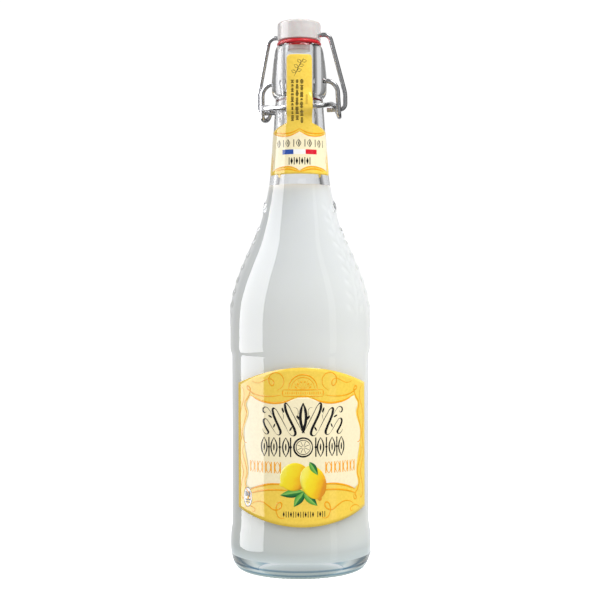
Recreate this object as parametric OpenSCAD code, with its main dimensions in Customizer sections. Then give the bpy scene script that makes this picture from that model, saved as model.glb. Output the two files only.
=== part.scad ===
// Swing top bottle: a clear glass bottle that a wire closure holds shut.
// The lever turns in two dimples of the glass, the bail hangs in the lever's eyes,
// and the stopper with its rubber gasket turns on the bail.
// The origin is the middle of the base. The closure turns about X, and its lever faces -Y.

/* [Glass bottle] */
// Height of the glass, from the table to the lip
glass_height = 301.4; // [296:0.1:310]
// Outside diameter of the body
body_diameter = 81; // [79:0.5:83]
// Inside diameter of the body
body_bore = 74; // [72:0.5:74.5]
// How far the label panel is sunk into the body
panel_depth = 1.05; // [0.8:0.05:1.2]
// Width of the flat ring that the bottle stands on
rest_ring = 3.6; // [3:0.1:5]
// Inside diameter of the mouth
mouth_bore = 16.5; // [16:0.1:17]

/* [Closure] */
// Diameter of the lever's wire
lever_wire = 2.8; // [2.6:0.1:2.8]
// Diameter of the bail's wire
bail_wire = 2.6; // [2.4:0.1:2.6]
// Radial play of a wire in its hole
wire_play = 0.05; // [0.03:0.01:0.1]
// Half the distance between the bail's hook tips
hook_tip = 15.6; // [15.4:0.1:17]
// Diameter of the stopper's head
head_diameter = 25; // [23.4:0.2:25]
// Height of the stopper's head
head_height = 11.2; // [10:0.1:12]

/* [Labels] */
// Turn of the labels' middle line away from the lever's middle line
label_turn = 18; // [0:1:30]
// Further turn of the body label
body_label_turn = 2.2; // [-5:0.1:5]
// Thickness of the paper
paper = 0.2; // [0.15:0.05:0.25]
// Width of the paper strip over the closure
strip_width = 15; // [12:0.5:15]
// Height of the straight sides of the body label
label_side = 70; // [60:1:74]

/* [Hidden] */
$fn = 96;

// Heights of the closure, measured down or up from the lip
pivot_z = glass_height - 21.3;
eye_z = glass_height - 37.4;
eye_y = 4.5;
collar_z = glass_height - 30.2;
head_z = glass_height + 2.3;
cross_hole_z = glass_height + 5.4;
stem_end_z = glass_height - 4.6;

// Radii of the glass
body_r = body_diameter / 2;
panel_r = body_r - panel_depth;
bore_r = body_bore / 2;
mouth_r = mouth_bore / 2;
collar_r = 15.9;
collar_neck_r = 13.7;
lip_r = 11.4;
lip_bore_r = 9.9;
base_r = 34.8;

// Heights of the glass
panel_bottom = 22;
panel_top = 121;
shoulder_z = 138;
shoulder_bend_z = 188;
neck_z = 235;
dimple_floor = 12.6;

// Radii of the closure's small parts
stem_r = 6.2;
flange_r = 6.7;
gasket_r = 12.9;
dimple_r = lever_wire / 2 + wire_play;
cross_hole_r = bail_wire / 2 + wire_play;

// Corner points of the wires, in millimetres from the axis
lever_side = 23.5;
lever_cross = 19.5;
lever_front = 16.4;
bail_side = 26.6;

// How much thinner a bend is than its wire, and how far it reaches into the straight wires
bend_step = 0.02;
bend_reach = 0.15;

function unit(v) = v / norm(v);

// Points of a cubic Bezier curve from a to d
function curve(a, b, c, d, steps = 12) = [
    for (i = [0 : steps])
        let (t = i / steps, s = 1 - t)
        s * s * s * a + 3 * s * s * t * b + 3 * s * t * t * c + t * t * t * d
];

// Outside of the glass, from the middle of the base up to the lip
function outside() = concat(
    curve([0, 5.5], [14, 5.5], [24, 4.5], [base_r - rest_ring, 0]),
    curve([base_r, 0], [body_r - 1.9, 0.6], [body_r, 6.5], [body_r, 14]),
    curve([body_r, 15], [body_r, 18], [panel_r, 19], [panel_r, panel_bottom], 6),
    curve([panel_r, panel_top], [panel_r, panel_top + 3], [body_r, panel_top + 5],
        [body_r, panel_top + 9], 6),
    curve([body_r - 0.1, shoulder_z], [body_r - 0.1, shoulder_z + 22],
        [33.1, shoulder_bend_z - 15], [26.5, shoulder_bend_z], 18),
    curve([26.5, shoulder_bend_z], [21.2, shoulder_bend_z + 12],
        [17, neck_z - 15], [16.1, neck_z], 18),
    curve([collar_neck_r, collar_z - 0.6], [14.6, collar_z], [collar_r, collar_z + 1.3],
        [collar_r, collar_z + 4.3], 10),
    curve([collar_r, collar_z + 9.8], [15.6, collar_z + 16.8], [14.9, glass_height - 10],
        [14.4, glass_height - 6], 10),
    curve([14.4, glass_height - 6], [13.9, glass_height - 2.2],
        [13.1, glass_height], [lip_r, glass_height], 10)
);

// Inside of the glass, from the lip down to the middle of the floor
function inside() = concat(
    curve([lip_bore_r, glass_height], [8.9, glass_height - 0.6], [mouth_r, glass_height - 1.8],
        [mouth_r, glass_height - 3.4], 6),
    [[mouth_r + 0.15, collar_z]],
    curve([10.2, neck_z], [11.6, neck_z - 18], [18.4, shoulder_bend_z + 10],
        [23.5, shoulder_bend_z - 2], 18),
    curve([23.5, shoulder_bend_z - 2], [30.2, shoulder_bend_z - 17],
        [bore_r, shoulder_z + 21], [bore_r, shoulder_z], 18),
    curve([bore_r, 18], [bore_r, 11], [33.5, 7.6], [28, 8.4], 10),
    curve([28, 8.4], [20, 9.6], [14, 12.5], [0, 12.5], 8)
);

// Radius of the outside of the glass at height z, between the neck and the collar
function neck_radius(z) = 16.1 + (collar_neck_r - 16.1) * (z - neck_z) / (collar_z - 0.6 - neck_z);

// A round wire through points, with one bend radius for each inner point
module bent_wire(points, bends, wire) {
    last = len(points) - 1;
    ways = [for (i = [0 : last - 1]) unit(points[i + 1] - points[i])];
    turns = [for (i = [1 : last - 1]) acos(ways[i - 1] * ways[i])];
    setbacks = concat(
        [0],
        [for (i = [1 : last - 1]) bends[i - 1] * tan(turns[i - 1] / 2)],
        [0]
    );
    for (i = [0 : last - 1])
        straight_wire(
            points[i] + ways[i] * setbacks[i],
            points[i + 1] - ways[i] * setbacks[i + 1],
            wire
        );
    for (i = [1 : last - 1])
        bend(points[i], ways[i - 1], ways[i], bends[i - 1], turns[i - 1], wire - 2 * bend_step);
}

// A straight round wire from one point to another
module straight_wire(from, to, wire) {
    way = to - from;
    translate(from)
        rotate([0, acos(way.z / norm(way)), atan2(way.y, way.x)])
            cylinder(h = norm(way), d = wire);
}

// The round bend of a wire at a corner. Its ends reach a little way into the straight wires
module bend(corner, before, after, bend_r, turn, wire) {
    inward = unit(after - before * (before * after));
    side = cross(before, inward);
    middle = corner - before * bend_r * tan(turn / 2) + inward * bend_r;
    reach = bend_reach / bend_r * 180 / PI;
    multmatrix([
        [-inward.x, before.x, -side.x, middle.x],
        [-inward.y, before.y, -side.y, middle.y],
        [-inward.z, before.z, -side.z, middle.z],
        [0, 0, 0, 1]
    ])
        rotate([0, 0, -reach])
            rotate_extrude(angle = turn + 2 * reach)
                translate([bend_r, 0])
                    circle(d = wire);
}

// A list of points on one side of the object, carried on by their mirror images
function mirrored(points) = concat(
    points,
    [for (i = [len(points) - 1 : -1 : 0]) [-points[i].x, points[i].y, points[i].z]]
);

// A list of bends carried on by the same bends backwards, about one bend in the middle
function both_ways(bends, middle) = concat(
    bends,
    middle,
    [for (i = [len(bends) - 1 : -1 : 0]) bends[i]]
);

// One closed piece of glass with a dimple on each side of the finish for the lever's ends
module bottle() {
    color("azure", 0.35)
        difference() {
            rotate_extrude()
                polygon(concat(outside(), inside()));
            for (side = [-1, 1])
                translate([side * dimple_floor, 0, pivot_z])
                    rotate([0, side * 90, 0])
                        cylinder(h = collar_r, r = dimple_r);
        }
}

// Where the bail's plane stands at height z, on the way from the cross hole to the eyes
function bail_y(z) = eye_y * (cross_hole_z - z) / (cross_hole_z - eye_z);

// One wire: it passes through the stopper, comes down both sides and hooks into the eyes
module bail() {
    knee_z = eye_z + 9;
    points = [
        [hook_tip, eye_y, eye_z],
        [bail_side - 0.2, eye_y, eye_z],
        [bail_side, bail_y(knee_z), knee_z],
        [18.3, 0, cross_hole_z]
    ];
    color("silver")
        bent_wire(
            mirrored(points),
            both_ways([3.2, 14, 4.5], []),
            bail_wire
        );
}

// One wire: two pins in the glass, an eye on each side, and the handle round the neck's front
module lever() {
    eye_bend = lever_wire;
    top = eye_z + eye_bend;
    foot = eye_z - 4.2;
    points = [
        [dimple_floor + 0.3, 0, pivot_z],
        [lever_side - 0.7, 0, pivot_z],
        [lever_side, eye_y - eye_bend, foot],
        [lever_side - 1.4, eye_y + eye_bend, foot],
        [lever_cross, eye_y + eye_bend, top],
        [lever_cross, eye_y - 2 * eye_bend, top - 0.2],
        [lever_cross - 0.2, 4 - lever_front, eye_z],
        [0, -lever_front, eye_z - 0.6]
    ];
    half = [for (i = [0 : len(points) - 2]) points[i]];
    color("silver")
        bent_wire(
            concat(half, [points[len(points) - 1]], [
                for (i = [len(half) - 1 : -1 : 0]) [-half[i].x, half[i].y, half[i].z]
            ]),
            both_ways([7, 2.7, 2.7, 2.7, 12, 8.5], [30]),
            lever_wire
        );
}

// The closure's plug: a round head with flat sides, a cross hole for the bail and a stem
module stopper() {
    head_r = head_diameter / 2;
    flat_x = head_r - 0.6;
    top_z = head_z + head_height;
    color("whitesmoke")
        difference() {
            rotate_extrude()
                polygon(concat(
                    [[0, stem_end_z], [flange_r - 0.5, stem_end_z], [flange_r, stem_end_z + 0.5]],
                    [[stem_r, stem_end_z + 1], [stem_r, head_z], [head_r - 0.9, head_z]],
                    [[head_r, head_z + 0.5]],
                    curve([head_r, top_z - 2], [head_r, top_z - 0.9], [head_r - 0.8, top_z - 0.3],
                        [head_r - 2.4, top_z - 0.2], 8),
                    [[0, top_z]]
                ));
            for (side = [-1, 1])
                translate([side * (flat_x + head_r), 0, top_z - head_height / 2])
                    cube([2 * head_r, head_diameter, 2 * head_height], center = true);
            translate([-head_diameter, 0, cross_hole_z])
                rotate([0, 90, 0])
                    cylinder(h = 2 * head_diameter, r = cross_hole_r);
        }
}

// The rubber ring on the stem: a wide lip on the glass and a cone that plugs the mouth
module gasket() {
    color("firebrick")
        rotate_extrude()
            polygon(concat(
                [[stem_r, glass_height - 2], [8.2, glass_height - 2]],
                [[9.2, glass_height], [gasket_r - 1, glass_height]],
                curve([gasket_r - 0.4, glass_height + 0.1], [gasket_r + 0.2, glass_height + 0.5],
                    [gasket_r, glass_height + 1.1], [gasket_r - 0.6, glass_height + 1.7], 6),
                [[gasket_r - 1.6, head_z], [stem_r, head_z]]
            ));
}

// A curved sheet of paper round the bottle's axis, with its outline drawn flat:
// x is measured round the glass from the middle line, y is the height
module wrapped_paper(radius, turn) {
    intersection() {
        rotate_extrude()
            translate([radius, 0])
                square([paper, glass_height]);
        rotate([0, 0, turn])
            rotate([90, 0, 0])
                linear_extrude(height = 2 * radius)
                    children();
    }
}

// The body label, with an arched top and bottom edge
module front_label() {
    half_angle = 63;
    side_z = panel_bottom + 15.4;
    arch = 9.2;
    half_width = panel_r * sin(half_angle);
    arch_r = (half_width * half_width + arch * arch) / (2 * arch);
    color("khaki")
        wrapped_paper(panel_r, label_turn + body_label_turn)
            intersection() {
                translate([-half_width, side_z - arch])
                    square([2 * half_width, label_side + 2 * arch]);
                translate([0, side_z + label_side + arch - arch_r])
                    circle(r = arch_r);
                translate([0, side_z - arch + arch_r])
                    circle(r = arch_r);
            }
}

// The paper round the neck
module neck_label() {
    low = neck_z - 9.5;
    high = neck_z + 16;
    half_turn = 86;
    color("khaki")
        rotate([0, 0, label_turn - 90])
            rotate_extrude(angle = 2 * half_turn, start = -half_turn)
                polygon([
                    [neck_radius(low) + 0.3, low],
                    [neck_radius(low) + 0.3 + paper, low],
                    [neck_radius(high) + 0.1 + paper, high],
                    [neck_radius(high) + 0.1, high]
                ]);
}

// A point of the paper strip: across is measured from its middle line. The row gives the height
// and the radius, and how much the strip is drawn flat by the lever's handle behind it
function strip_point(across, row, outward) =
    let (
        r = row[1] + outward,
        angle = label_turn - 90 + across / row[1] * 180 / PI,
        x = 5.4 + across,
        y = x * x / 88 - lever_front - 0.85 - outward,
        round_point = [r * cos(angle), r * sin(angle), row[0]],
        flat_point = [x, y, row[0]]
    )
    round_point * (1 - row[2]) + flat_point * row[2];

// The tear-off strip, from the neck label over the lever's handle and up the front of the finish
module seal_strip() {
    rows = [
        [neck_z + 16.2, neck_radius(neck_z + 16) + 0.1, 0],
        [neck_z + 17.5, neck_radius(neck_z + 17) + 0.2, 0.05],
        [eye_z - 1.4, collar_r + 0.3, 1],
        [eye_z + 0.6, collar_r + 0.3, 1],
        [collar_z + 3.6, collar_r + 0.1, 0],
        [collar_z + 9.4, collar_r + 0.1, 0],
        [collar_z + 15, 15.65, 0],
        [collar_z + 19, 15.25, 0],
        [collar_z + 22.8, 14.85, 0]
    ];
    columns = 10;
    count = columns + 1;
    total = len(rows) * count;
    last_row = len(rows) - 1;
    points = [
        for (outward = [0, paper])
            for (row = rows)
                for (i = [0 : columns])
                    strip_point((i / columns - 0.5) * strip_width, row, outward)
    ];
    cells = [for (j = [0 : last_row - 1]) for (i = [0 : columns - 1]) j * count + i];
    rims = concat(
        [for (i = [0 : columns - 1]) [i, i + 1]],
        [for (j = [0 : last_row - 1]) [j * count + columns, (j + 1) * count + columns]],
        [for (i = [columns : -1 : 1]) [last_row * count + i, last_row * count + i - 1]],
        [for (j = [last_row : -1 : 1]) [j * count, (j - 1) * count]]
    );
    faces = concat(
        [for (c = cells) [c, c + 1, c + count + 1]],
        [for (c = cells) [c, c + count + 1, c + count]],
        [for (c = cells) [total + c, total + c + count + 1, total + c + 1]],
        [for (c = cells) [total + c, total + c + count, total + c + count + 1]],
        [for (e = rims) [e[0], total + e[0], total + e[1]]],
        [for (e = rims) [e[0], total + e[1], e[1]]]
    );
    color("gold")
        polyhedron(points = points, faces = faces);
}

bottle();
front_label();
neck_label();
seal_strip();
lever();
bail();
stopper();
gasket();
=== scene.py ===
# %% [markdown]
# # A swing top bottle of cloudy lemonade
# The bottle is clear glass, closed by a wire lever, a wire bail and a stopper with a red rubber
# gasket. The design model already holds every size and hinge. This lesson adds the looks: real
# wall thickness in the glass, raised ornament, a drink, printed paper labels, wire and rubber.

# %% The frame
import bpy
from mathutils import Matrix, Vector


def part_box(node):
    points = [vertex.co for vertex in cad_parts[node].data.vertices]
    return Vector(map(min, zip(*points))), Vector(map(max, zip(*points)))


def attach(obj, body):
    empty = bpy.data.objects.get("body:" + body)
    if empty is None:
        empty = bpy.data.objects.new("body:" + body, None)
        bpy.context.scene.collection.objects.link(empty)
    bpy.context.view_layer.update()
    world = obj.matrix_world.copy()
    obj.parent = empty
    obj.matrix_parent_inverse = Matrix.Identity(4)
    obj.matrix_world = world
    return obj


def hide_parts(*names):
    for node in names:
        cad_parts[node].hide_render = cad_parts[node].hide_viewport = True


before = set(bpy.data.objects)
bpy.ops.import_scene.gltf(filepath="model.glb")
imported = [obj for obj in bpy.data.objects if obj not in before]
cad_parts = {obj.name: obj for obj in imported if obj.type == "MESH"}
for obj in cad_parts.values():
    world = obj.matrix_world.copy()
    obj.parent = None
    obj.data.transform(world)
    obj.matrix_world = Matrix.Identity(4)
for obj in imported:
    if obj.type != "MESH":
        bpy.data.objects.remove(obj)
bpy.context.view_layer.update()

# %% Tools used everywhere
import math
import random

import bmesh
import bpy
from mathutils import Matrix, Vector

MM = 0.001
random.seed(7)

# %% [markdown]
# ## Sizes
# The height of the lip and the radius of the body are read from the frame. The other sizes of the
# glass are the design's own numbers, in millimetres. The glass stands on z = 0 and its axis is the
# Z axis, so one radius and one height say where anything on it lies. The labels look towards the
# front, which is turned a little from the lever's own middle line.

# %% Sizes of the glass
lip_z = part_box("bottle")[1][2] / MM
body_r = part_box("bottle")[1][0] / MM
panel_depth = 1.05
panel_r = body_r - panel_depth
bore_r = 37.0
mouth_r = 8.25
neck_r = 16.1
neck_top_r = 13.7
shoulder_z = 138.0
bend_z = 188.0
neck_z = 235.0
collar_z = lip_z - 30.2
lever_facing = -90
front_angle = math.radians(18 + lever_facing)
label_angle = math.radians(20.2 + lever_facing)
drink_z = 219.5
print("glass", round(lip_z, 1), "mm high and", round(2 * body_r, 1), "mm across")


# %% Small helpers
def curve(a, b, c, d, steps=12):
    """Points of a cubic Bezier curve from a to d."""
    points = []
    for i in range(steps + 1):
        t = i / steps
        s = 1 - t
        weights = (s * s * s, 3 * s * s * t, 3 * s * t * t, t * t * t)
        points.append(tuple(sum(w * p[k] for w, p in zip(weights, (a, b, c, d))) for k in (0, 1)))
    return points


def colour(red, green, blue):
    """A shader colour from screen values of 0 to 255."""
    return tuple((v / 255 / 12.92) if v < 10 else ((v / 255 + 0.055) / 1.055) ** 2.4
                 for v in (red, green, blue)) + (1.0,)


def finish_mesh(bm, name, body, material, smooth=True):
    """Turns a bmesh in millimetres into a piece in metres that rides on a body."""
    bmesh.ops.scale(bm, vec=(MM, MM, MM), verts=bm.verts)
    mesh = bpy.data.meshes.new(name)
    bm.to_mesh(mesh)
    bm.free()
    piece = bpy.data.objects.new(name, mesh)
    bpy.context.scene.collection.objects.link(piece)
    for polygon in mesh.polygons:
        polygon.use_smooth = smooth
    mesh.materials.append(material)
    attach(piece, body)
    return piece


def turned(outline, steps):
    """A bmesh of an outline of (radius, height) points spun round the axis."""
    bm = bmesh.new()
    verts = [bm.verts.new((r, 0, z)) for r, z in outline]
    edges = [bm.edges.new(pair) for pair in zip(verts, verts[1:])]
    bmesh.ops.spin(bm, geom=verts + edges, cent=(0, 0, 0), axis=(0, 0, 1), dvec=(0, 0, 0),
                   angle=2 * math.pi, steps=steps, use_merge=True, use_duplicate=False)
    bmesh.ops.remove_doubles(bm, verts=bm.verts, dist=1e-4)
    bmesh.ops.dissolve_degenerate(bm, edges=bm.edges, dist=1e-4)
    bmesh.ops.recalc_face_normals(bm, faces=bm.faces)
    return bm


# %% [markdown]
# ## Camera and light
# The camera looks level at the bottle from about 70 cm, 18 degrees to the right of the lever's
# middle line. A long lens keeps the sides of the bottle straight. A tall softbox stands at the left
# and draws the crisp band down the glass, and a weak, narrow one stands at the right. Two large
# fills light the front and the right edge but make no reflections, and a small lamp hangs above.

# %% Camera
camera_distance = 0.702
camera_height = 0.154
camera_data = bpy.data.cameras.new("camera")
camera_data.lens = 72.6
camera_data.sensor_width = 36
camera_data.clip_start = 0.01
camera = bpy.data.objects.new("camera", camera_data)
camera.location = (camera_distance * math.cos(front_angle), camera_distance * math.sin(front_angle),
                   camera_height)
camera_roll = math.radians(0.19)
camera.rotation_euler = (math.radians(90), camera_roll, front_angle + math.radians(90))
bpy.context.scene.collection.objects.link(camera)
bpy.context.scene.camera = camera
bpy.context.scene.view_settings.view_transform = "Standard"
print("camera at", [round(v, 3) for v in camera.location])


# %% Lights
def softbox(name, turn, distance, height, size, strength, tint=(1, 1, 1), aim_height=0.15):
    """A flat light turned round the bottle from the front, aimed at a height on its axis."""
    data = bpy.data.lights.new(name, "AREA")
    data.shape = "RECTANGLE"
    data.size, data.size_y = size
    data.energy = strength
    data.color = tint
    lamp = bpy.data.objects.new(name, data)
    angle = front_angle + math.radians(turn)
    lamp.location = (distance * math.cos(angle), distance * math.sin(angle), height)
    aim = Vector((0, 0, aim_height)) - lamp.location
    lamp.rotation_euler = aim.to_track_quat("-Z", "Y").to_euler()
    bpy.context.scene.collection.objects.link(lamp)
    return lamp


left = softbox("left_softbox", -88.4, 0.62, 0.745, (0.63, 1.71), 18.5, (0.97, 0.97, 1.0), 0.745)
left.visible_diffuse = False
left.visible_transmission = False
softbox("right_softbox", 54, 0.95, 0.45, (0.20, 1.6), 0.7, (1.0, 0.985, 0.95), 0.45)
fill = softbox("fill_softbox", 12, 1.35, 1.25, (1.2, 1.2), 6.2)
fill.visible_glossy = False
edge = softbox("right_edge_fill", 108, 1.5, 0.4, (1.2, 1.2), 7.5)
edge.visible_glossy = False
edge.visible_transmission = False
softbox("top_softbox", 58, 0.42, 1.3, (0.5, 0.5), 5.0)
print("lights:", len(bpy.data.lights))

# %% [markdown]
# ## Surroundings
# The camera sees plain white behind the bottle. Rays that leave a matt surface meet a soft sky,
# brighter above than below. All other rays, which glass and wire bend or reflect, meet a studio
# that is bright behind the bottle, dark at its sides and dim behind the camera. That gives clear
# glass the dark edges which show its shape.

# %% Surroundings
world = bpy.data.worlds.new("studio")
bpy.context.scene.world = world
world.use_nodes = True
nodes, links = world.node_tree.nodes, world.node_tree.links
nodes.clear()
output = nodes.new("ShaderNodeOutputWorld")
seen = nodes.new("ShaderNodeBackground")
seen.inputs["Color"].default_value = (1, 1, 1, 1)
seen.inputs["Strength"].default_value = 1.05
studio = nodes.new("ShaderNodeBackground")
path = nodes.new("ShaderNodeLightPath")
pick = nodes.new("ShaderNodeMixShader")
soft = nodes.new("ShaderNodeBackground")
soft.inputs["Color"].default_value = (1, 1, 1, 1)
soft_split = nodes.new("ShaderNodeSeparateXYZ")
soft_spread = nodes.new("ShaderNodeMapRange")
soft_spread.inputs["From Min"].default_value = -1
soft_spread.inputs["To Min"].default_value = 0.60
soft_spread.inputs["To Max"].default_value = 0.98
pick_soft = nodes.new("ShaderNodeMixShader")
place = nodes.new("ShaderNodeTexCoord")
turn_world = nodes.new("ShaderNodeMapping")
turn_world.inputs["Rotation"].default_value = (0, 0, -front_angle)
split = nodes.new("ShaderNodeSeparateXYZ")
ramp = nodes.new("ShaderNodeValToRGB")
spread = nodes.new("ShaderNodeMapRange")
spread.inputs["From Min"].default_value = -1
links.new(place.outputs["Generated"], turn_world.inputs["Vector"])
links.new(turn_world.outputs["Vector"], split.inputs["Vector"])
links.new(split.outputs["X"], spread.inputs["Value"])
links.new(spread.outputs["Result"], ramp.inputs["Fac"])
links.new(ramp.outputs["Color"], studio.inputs["Color"])
ramp.color_ramp.elements[0].position = 0.0
ramp.color_ramp.elements[0].color = (0.78, 0.79, 0.81, 1)
ramp.color_ramp.elements[1].position = 1.0
ramp.color_ramp.elements[1].color = (0.30, 0.31, 0.32, 1)
walls = ((0.08, 0.75), (0.15, 0.36), (0.28, 0.12), (0.48, 0.04), (0.62, 0.06), (0.80, 0.26))
for position, shade in walls:
    step = ramp.color_ramp.elements.new(position)
    step.color = (shade, shade, shade * 1.01, 1)
links.new(path.outputs["Is Camera Ray"], pick.inputs["Fac"])
links.new(place.outputs["Generated"], soft_split.inputs["Vector"])
links.new(soft_split.outputs["Z"], soft_spread.inputs["Value"])
links.new(soft_spread.outputs["Result"], soft.inputs["Strength"])
links.new(path.outputs["Is Diffuse Ray"], pick_soft.inputs["Fac"])
links.new(studio.outputs["Background"], pick_soft.inputs[1])
links.new(soft.outputs["Background"], pick_soft.inputs[2])
links.new(pick_soft.outputs["Shader"], pick.inputs[1])
links.new(seen.outputs["Background"], pick.inputs[2])
links.new(pick.outputs["Shader"], output.inputs["Surface"])
print("studio shades:", len(ramp.color_ramp.elements))

# %% [markdown]
# ## Finishes
# Each finish is one Principled shader with its plain values set on its own sockets. Noise on the
# object's coordinates only breaks up what a perfect surface would get wrong: a little waviness in
# the glass, grain in the paper, fine wear on the wire. Two finishes also change with height. The
# glass is tinted green in its lowest 20 mm, where one looks through its full width, and has a few
# dark teal lines there, which are painted shade for the dark bands seen through the heel. The drink
# has painted shade, palest halfway up and darker towards its base and its shoulder, and a painted
# glow at its underside.


# %% A shader and its noise
def principled(name, base, **values):
    """A material with one Principled shader, its sockets set by name."""
    material = bpy.data.materials.new(name)
    material.use_nodes = True
    shader = material.node_tree.nodes["Principled BSDF"]
    shader.inputs["Base Color"].default_value = base
    for socket, value in values.items():
        shader.inputs[socket.replace("_", " ")].default_value = value
    return material


def add_noise(material, scale, detail=3.0, stretch=(1, 1, 1)):
    """A noise texture on object coordinates, in features per metre."""
    tree = material.node_tree
    coords = tree.nodes.new("ShaderNodeTexCoord")
    mapping = tree.nodes.new("ShaderNodeMapping")
    mapping.inputs["Scale"].default_value = stretch
    noise = tree.nodes.new("ShaderNodeTexNoise")
    noise.inputs["Scale"].default_value = scale
    noise.inputs["Detail"].default_value = detail
    tree.links.new(coords.outputs["Object"], mapping.inputs["Vector"])
    tree.links.new(mapping.outputs["Vector"], noise.inputs["Vector"])
    return noise


def add_bump(material, height, strength, distance):
    """Raises the surface by a texture's height."""
    tree = material.node_tree
    bump = tree.nodes.new("ShaderNodeBump")
    bump.inputs["Strength"].default_value = strength
    bump.inputs["Distance"].default_value = distance
    tree.links.new(height, bump.inputs["Height"])
    tree.links.new(bump.outputs["Normal"], tree.nodes["Principled BSDF"].inputs["Normal"])


def ramp_between(material, factor, socket, stops):
    """Drives a shader socket from a texture through a colour ramp."""
    tree = material.node_tree
    ramp = tree.nodes.new("ShaderNodeValToRGB")
    elements = ramp.color_ramp.elements
    for i, (position, value) in enumerate(stops):
        element = elements[i] if i < 2 else elements.new(position)
        element.position = position
        element.color = value
    tree.links.new(factor, ramp.inputs["Fac"])
    tree.links.new(ramp.outputs["Color"], tree.nodes["Principled BSDF"].inputs[socket])
    return ramp


def grey(value):
    return (value, value, value, 1.0)


# %% Glass
glass = principled("clear_glass", (0.985, 0.99, 0.99, 1), IOR=1.5, Roughness=0.0,
                   Transmission_Weight=1.0)
glass_noise = add_noise(glass, 55, 1.0, (1, 1, 0.35))
add_bump(glass, glass_noise.outputs["Fac"], 0.06, 0.001)
glass_place = glass.node_tree.nodes.new("ShaderNodeTexCoord")
glass_split = glass.node_tree.nodes.new("ShaderNodeSeparateXYZ")
heel_tint_and_painted_bands = glass.node_tree.nodes.new("ShaderNodeMapRange")
heel_tint_and_painted_bands.inputs["From Max"].default_value = 0.020
glass.node_tree.links.new(glass_place.outputs["Object"], glass_split.inputs["Vector"])
glass.node_tree.links.new(glass_split.outputs["Z"], heel_tint_and_painted_bands.inputs["Value"])
# Green tint of the thick heel, plus painted shade: dark teal lines for the dark bands seen through it.
ramp_between(glass, heel_tint_and_painted_bands.outputs["Result"], "Base Color",
             ((0.0, (0.62, 0.80, 0.74, 1)), (1.0, (0.985, 0.99, 0.99, 1)),
              (0.045, (0.74, 0.88, 0.82, 1)), (0.085, (0.30, 0.50, 0.56, 1)),
              (0.115, (0.06, 0.16, 0.30, 1)), (0.14, (0.35, 0.55, 0.60, 1)),
              (0.165, (0.80, 0.92, 0.88, 1)), (0.205, (0.72, 0.86, 0.86, 1)),
              (0.23, (0.10, 0.22, 0.36, 1)), (0.265, (0.22, 0.38, 0.50, 1)),
              (0.29, (0.90, 0.96, 0.96, 1)), (0.40, (0.90, 0.955, 0.97, 1)),
              (0.75, (0.94, 0.975, 0.98, 1))))

# %% Drink
drink_look = principled("cloudy_drink", colour(212, 215, 210), IOR=1.34, Roughness=0.6,
                        Subsurface_Weight=0.85, Specular_IOR_Level=0.0)
drink_nodes, drink_links = drink_look.node_tree.nodes, drink_look.node_tree.links
drink_shader = drink_nodes["Principled BSDF"]
drink_shader.inputs["Subsurface Radius"].default_value = (1, 1, 0.9)
drink_shader.inputs["Subsurface Scale"].default_value = 0.012
cloud = add_noise(drink_look, 9, 2.0)
drink_place = drink_nodes.new("ShaderNodeTexCoord")
drink_split = drink_nodes.new("ShaderNodeSeparateXYZ")
# Painted shade: the base colour is palest halfway up and darker towards the base and the shoulder.
level = drink_nodes.new("ShaderNodeMapRange")
level.inputs["From Max"].default_value = 0.25
level.inputs["To Min"].default_value = -0.05
level.inputs["To Max"].default_value = 0.95
cloud_and_painted_shade = drink_nodes.new("ShaderNodeMath")
cloud_and_painted_shade.operation = "MULTIPLY_ADD"
cloud_and_painted_shade.inputs[1].default_value = 0.1
# Painted glow: emission at the underside of the drink, in place of light gathering there.
painted_underside_glow = drink_nodes.new("ShaderNodeMapRange")
painted_underside_glow.inputs["From Min"].default_value = 0.004
painted_underside_glow.inputs["From Max"].default_value = 0.014
painted_underside_glow.inputs["To Min"].default_value = 0.5
painted_underside_glow.inputs["To Max"].default_value = 0.0
drink_links.new(drink_place.outputs["Object"], drink_split.inputs["Vector"])
drink_links.new(drink_split.outputs["Z"], level.inputs["Value"])
drink_links.new(drink_split.outputs["Z"], painted_underside_glow.inputs["Value"])
drink_links.new(cloud.outputs["Fac"], cloud_and_painted_shade.inputs[0])
drink_links.new(level.outputs["Result"], cloud_and_painted_shade.inputs[2])
ramp_between(drink_look, cloud_and_painted_shade.outputs["Value"], "Base Color",
             ((0.0, colour(206, 214, 216)), (1.0, colour(217, 220, 221)),
              (0.10, colour(217, 220, 216)), (0.32, colour(225, 227, 223)),
              (0.52, colour(228, 230, 228)), (0.68, colour(214, 217, 217)),
              (0.84, colour(214, 217, 218))))
drink_shader.inputs["Emission Color"].default_value = colour(206, 222, 224)
drink_links.new(painted_underside_glow.outputs["Result"], drink_shader.inputs["Emission Strength"])

# %% Wire, plastic and rubber
steel = principled("polished_wire", (0.68, 0.68, 0.69, 1), Metallic=1.0, Roughness=0.28)
wear = add_noise(steel, 500, 3.0)
ramp_between(steel, wear.outputs["Fac"], "Roughness", ((0.35, grey(0.24)), (0.75, grey(0.30))))
add_bump(steel, wear.outputs["Fac"], 0.02, 0.0001)
plastic = principled("white_plastic", colour(212, 205, 203), Roughness=0.34, IOR=1.5,
                     Coat_Weight=0.3, Coat_Roughness=0.12, Subsurface_Weight=0.15)
plastic.node_tree.nodes["Principled BSDF"].inputs["Subsurface Scale"].default_value = 0.002
skin = add_noise(plastic, 320, 2.0)
ramp_between(plastic, skin.outputs["Fac"], "Base Color",
             ((0.35, colour(206, 200, 198)), (0.7, colour(214, 209, 206))))
add_bump(plastic, skin.outputs["Fac"], 0.05, 0.0002)
rubber = principled("red_rubber", colour(206, 22, 36), Roughness=0.3, IOR=1.5,
                    Subsurface_Weight=0.2)
rubber.node_tree.nodes["Principled BSDF"].inputs["Subsurface Scale"].default_value = 0.001
bloom = add_noise(rubber, 500, 3.0)
ramp_between(rubber, bloom.outputs["Fac"], "Base Color",
             ((0.3, colour(196, 16, 30)), (0.7, colour(214, 30, 44))))
add_bump(rubber, bloom.outputs["Fac"], 0.1, 0.0002)

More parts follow.
